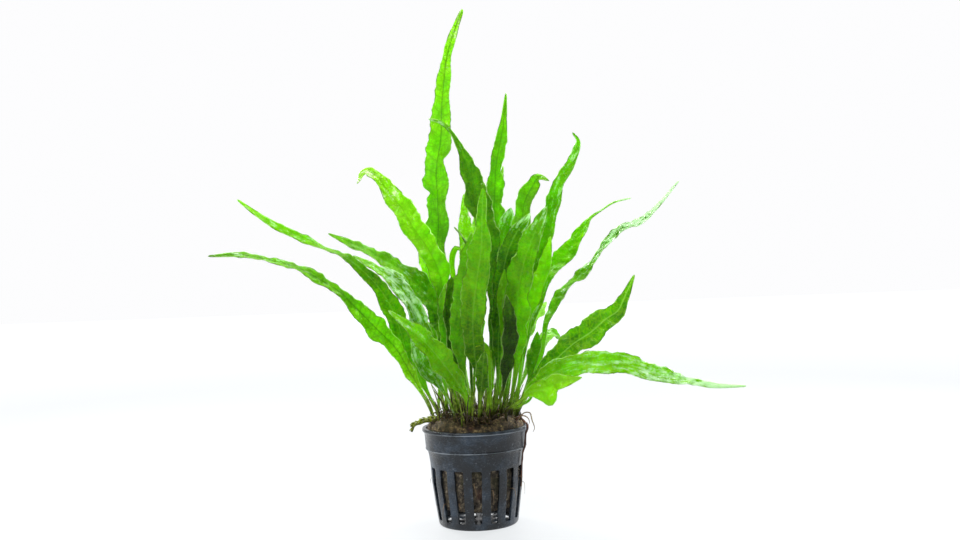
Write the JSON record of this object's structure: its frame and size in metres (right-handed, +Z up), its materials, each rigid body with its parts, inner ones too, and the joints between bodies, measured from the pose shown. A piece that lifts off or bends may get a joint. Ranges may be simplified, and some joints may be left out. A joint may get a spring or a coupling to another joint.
{
  "type": "potted narrow leaf java fern",
  "caption": "Narrow leaf java fern with long wavy lance-shaped fronds growing from a rhizome on a wool plug in a slotted net pot.",
  "frame": {"origin": "middle of the pot's flat base, on the surface it stands on", "axes": "+Z up along the pot's axis; -Y is the side seen in the picture; X runs along the widest spread of the fronds"},
  "size_m": [0.2501, 0.1315, 0.2631],
  "materials": {
    "pot_plastic": "satin",
    "wool": "matte",
    "rhizome": "satin",
    "root": "matte",
    "leaf": "satin"
  },
  "bodies": {
    "root": {"net_pot": "pot_plastic", "wool_plug": "wool", "rhizome": "rhizome", "root_strand": "root", "frond_left_low": "leaf", "frond_left_long": "leaf", "frond_left_upper": "leaf", "frond_left_gloss": "leaf", "frond_left_front": "leaf", "frond_left_short": "leaf", "frond_left_pale": "leaf", "frond_left_broad": "leaf", "frond_tallest": "leaf", "frond_behind_pale": "leaf", "frond_centre_whip": "leaf", "frond_centre_front": "leaf", "frond_centre_left": "leaf", "frond_centre_tall": "leaf", "frond_crinkled": "leaf", "frond_right_fold": "leaf", "frond_right_nod": "leaf", "frond_right_tall": "leaf", "frond_right_front": "leaf", "frond_right_pale": "leaf", "frond_right_whip": "leaf", "frond_right_thread": "leaf", "frond_right_small": "leaf", "frond_right_dark": "leaf", "frond_right_long": "leaf", "frond_right_torn": "leaf", "frond_centre_dark": "leaf", "frond_front_short": "leaf", "frond_left_dark": "leaf", "frond_left_thin": "leaf", "frond_back_left": "leaf", "frond_back_middle": "leaf", "frond_back_right": "leaf", "frond_back_low_left": "leaf", "frond_back_low_right": "leaf", "frond_back_inner": "leaf", "frond_back_tall": "leaf", "frond_right_bud": "leaf", "frond_centre_lime": "leaf", "frond_front_lime": "leaf", "frond_centre_tendril": "leaf", "frond_back_arch": "leaf", "frond_back_lean": "leaf", "frond_back_reach": "leaf"}
  },
  "joints": []
}
